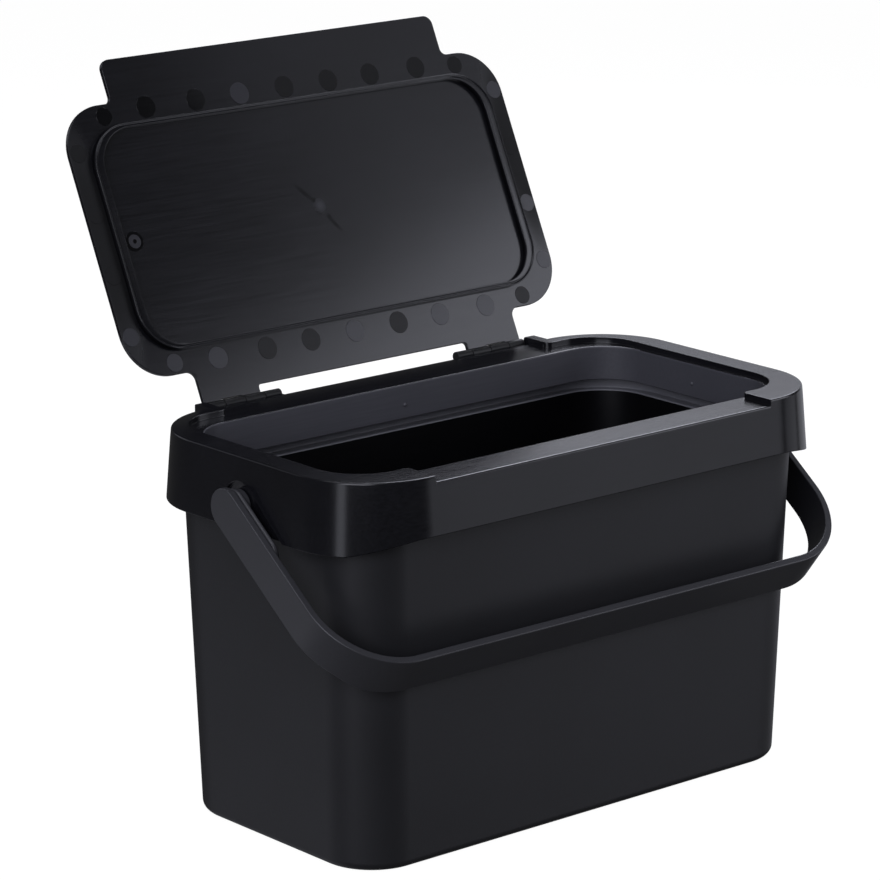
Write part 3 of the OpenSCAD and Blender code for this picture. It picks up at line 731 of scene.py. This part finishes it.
spun = bmesh.ops.spin(bm, geom=endParts, cent=(values["outX"] - values["bend"], bendY, 0), axis=(0, 0, 1),
                      dvec=(0, 0, 0), angle=-math.pi / 2, steps=values["bendSteps"], use_duplicate=False)["geom_last"]
for i in range(values["runSteps"]):
    caps = [f for f in spun if isinstance(f, bmesh.types.BMFace)]
    run = bmesh.ops.extrude_face_region(bm, geom=caps)["geom"]
    bmesh.ops.delete(bm, geom=[f for f in caps if f.is_valid], context="FACES_ONLY")
    bmesh.ops.translate(bm, verts=[v for v in run if isinstance(v, bmesh.types.BMVert)],
                        vec=((values["bend"] - values["outX"]) / values["runSteps"], 0, 0))
    spun = run
middle = [f for f in bm.faces if all(abs(v.co.x) < 1e-3 for v in f.verts)]
bmesh.ops.delete(bm, geom=middle, context="FACES_ONLY")
# the grip is deeper than the arms, and grows to its depth through each bend
for vert in bm.verts:
    turned = math.degrees(math.atan2(bendY - vert.co.y, max(vert.co.x - (values["outX"] - values["bend"]), 1e-6)))
    share = min(max((turned - values["dropFrom"]) / values["dropOver"], 0), 1) if vert.co.y < bendY else 0
    if vert.co.z < -halfWidth + 1.2:
        vert.co.z -= values["drop"] * share * share * (3 - 2 * share)
bosses = bmesh.new()
addBar(bosses, pivot["bossRadius"], pivot["floor"] + 0.3, inX + 1, 0, 0, 0.5, 48)
addBar(bosses, pivot["studRadius"], pivot["padIn"], inX + 1, 0, 0, 0.3, 40)
# a raised pad with round ends stiffens the strap's inner side below the pivot
padRadius, padRun, padIn = values["padRadius"], values["padRun"], values["padIn"]
place = Matrix.Translation((padIn, -padRun / 2, 0)) @ Matrix.Rotation(math.pi / 2, 4, "Y") \
    @ Matrix.Diagonal((2 * padRadius, padRun + 2 * padRadius, 1, 1))
verts = bmesh.ops.create_grid(bosses, x_segments=1, y_segments=1, size=0.5, matrix=place)["verts"]
bmesh.ops.bevel(bosses, geom=verts, offset=padRadius * 0.999, segments=14, profile=0.5, affect="VERTICES", material=-1)
flat = [f for f in bosses.faces if all(abs(v.co.x - padIn) < 1e-3 for v in f.verts)]
lifted = bmesh.ops.extrude_face_region(bosses, geom=flat, use_keep_orig=True)["geom"]
bmesh.ops.translate(bosses, verts=[v for v in lifted if isinstance(v, bmesh.types.BMVert)],
                    vec=(inX + 0.3 - padIn, 0, 0))
rims = [e for e in bosses.edges if all(abs(v.co.x - padIn) < 1e-3 for v in e.verts)]
bmesh.ops.bevel(bosses, geom=rims, offset=0.5, segments=3, profile=0.5, affect="EDGES", material=-1)
joinInto(bm, bosses)
bmesh.ops.mirror(bm, geom=bm.verts[:] + bm.edges[:] + bm.faces[:], axis="X", merge_dist=0.002)
hanging = Matrix.Translation((0, pivot["y"], pivot["z"])) @ Matrix.Rotation(math.radians(pivot["hang"]), 4, "X")
bm.transform(hanging)
handlePiece = meshObject("strapHandle", bm)
# slot 1 is the strap's inner side at both arms, painted darker as painted shade
for face in handlePiece.data.polygons:
    if face.normal.x * face.center.x < -30:
        face.material_index = 1
finishPiece(handlePiece, [strapPaintedLightPolypropylene, strapPaintedShadePolypropylene], "handle", "handle")


# In metres. The floor lies 0.3 mm under the foot ring, so that the two don't share a plane.
floorValues = dict(half=4, height=-0.0003, colour="#3c3c3c", glow=0.98)
bm = bmesh.new()
bmesh.ops.create_grid(bm, x_segments=1, y_segments=1, size=floorValues["half"],
                      matrix=Matrix.Translation((0, 0, floorValues["height"])))
floor = meshObject("floor", bm)
# Matt white paper that is lit so evenly that it has no shade of its own.
floorPaint = bpy.data.materials.new("white paper floor")
floorPaint.use_nodes = True
paper = floorPaint.node_tree.nodes["Principled BSDF"]
paper.inputs["Base Color"].default_value = linearColour(floorValues["colour"])
paper.inputs["Roughness"].default_value = 0.9
paper.inputs["Emission Color"].default_value = (1, 1, 1, 1)
paper.inputs["Emission Strength"].default_value = floorValues["glow"]
floor.data.materials.append(floorPaint)
# the photograph's floor leaves no reflection in the plastic
floor.visible_glossy = floor.visible_diffuse = floor.visible_shadow = False

# Each soft box is a name, its place, what it faces, its width and height, and the brightness that it shows in a
# reflection. Each stands where one face of the object mirrors it into the camera.
studio = dict(background=1.0, surround=0.05, lampColour="#f0f2ff",
              boxes=(("right box", (0.65, -0.50, 0.39), (0.04, 0.08, 0.2), 0.50, 0.42, 2.4),
                     ("upper right box", (0.92, -0.50, 0.85), (0.05, 0.1, 0.25), 0.5, 0.36, 0.5),
                     ("low right box", (0.63, -0.76, -0.16), (0, 0, -0.04), 0.40, 0.70, 0.64),
                     ("low back right box", (1.1, 0.32, -0.12), (0.1, 0, 0), 0.8, 0.6, 0.4),
                     ("low left box", (-0.707, 0.634, -0.29), (-0.14, -0.03, -0.1), 0.55, 0.40, 0.43),
                     ("left strip", (-1.25, -0.35, 0.12), (-0.12, -0.05, 0.12), 0.22, 1.0, 1.6),
                     ("back wall", (1.49, 0.82, 0.42), (0.35, -0.18, 0.15), 1.1, 0.9, 0.45),
                     ("back top box", (0.98, 0.76, 1.05), (0, 0, 0.15), 0.7, 0.7, 6.0),
                     ("overhead box", (-0.6, -0.1, 1.9), (0, 0, 0.15), 1.6, 1.0, 1.8),
                     ("rear box", (-0.7, 1.9, 0.9), (0, 0, 0.15), 1.4, 1.0, 0.5),
                     ("low rear box", (0, 0.5, -0.6), (0, 0.12, 0.25), 1.5, 0.5, 0.3),
                     ("low corner box", (1.15, -0.42, -0.11), (0.1, 0, 0.1), 0.5, 0.32, 0.4),
                     ("room fill", (-2.1, -1.35, 1.2), (0, 0, 0.1), 1.6, 1.6, 4.0)))
world = bpy.data.worlds.new("studio")
bpy.context.scene.world = world
world.use_nodes = True
tree = world.node_tree
surround = tree.nodes["Background"]
surround.inputs["Color"].default_value = (1, 1, 1, 1)
surround.inputs["Strength"].default_value = studio["surround"]
backdrop = addNode(tree, "ShaderNodeBackground", {"Color": (1, 1, 1, 1), "Strength": studio["background"]})
path = addNode(tree, "ShaderNodeLightPath")
chosen = addNode(tree, "ShaderNodeMixShader", {},
                 {0: path.outputs["Is Camera Ray"], 1: surround.outputs[0], 2: backdrop.outputs[0]})
tree.links.new(chosen.outputs[0], tree.nodes["World Output"].inputs["Surface"])
for name, place, target, width, height, brightness in studio["boxes"]:
    lamp = bpy.data.lights.new(name, "AREA")
    lamp.shape, lamp.size, lamp.size_y = "RECTANGLE", width, height
    lamp.energy = brightness * math.pi * width * height
    lamp.color = linearColour(studio["lampColour"])[:3]
    holder = bpy.data.objects.new(name, lamp)
    facing = (Vector(place) - Vector(target)).to_track_quat("Z", "Y").to_matrix().to_4x4()
    holder.matrix_world = Matrix.Translation(place) @ facing
    holder.visible_camera = False
    bpy.context.scene.collection.objects.link(holder)

# The camera that the photograph was taken with, found by fitting the outline's corners; metres and degrees.
photoView = dict(azimuth=-40.327, elevation=14.82, roll=-0.19, aside=-0.02242, height=0.15253, distance=1.813,
                 lens=173.427)
azimuth, elevation = math.radians(photoView["azimuth"]), math.radians(photoView["elevation"])
toCamera = Vector((math.sin(azimuth) * math.cos(elevation), -math.cos(azimuth) * math.cos(elevation),
                   math.sin(elevation)))
aside = Vector((math.cos(azimuth), math.sin(azimuth), 0)) * photoView["aside"]
cameraData = bpy.data.cameras.new("photo camera")
cameraData.sensor_width, cameraData.lens = 36, photoView["lens"]
camera = bpy.data.objects.new("photo camera", cameraData)
turn = toCamera.to_track_quat("Z", "Y").to_matrix().to_4x4() @ Matrix.Rotation(math.radians(photoView["roll"]), 4, "Z")
place = aside + Vector((0, 0, photoView["height"])) + toCamera * photoView["distance"]
camera.matrix_world = Matrix.Translation(place) @ turn
bpy.context.scene.collection.objects.link(camera)
bpy.context.scene.camera = camera
bpy.context.scene.view_settings.view_transform = "Standard"
print("studio ready")
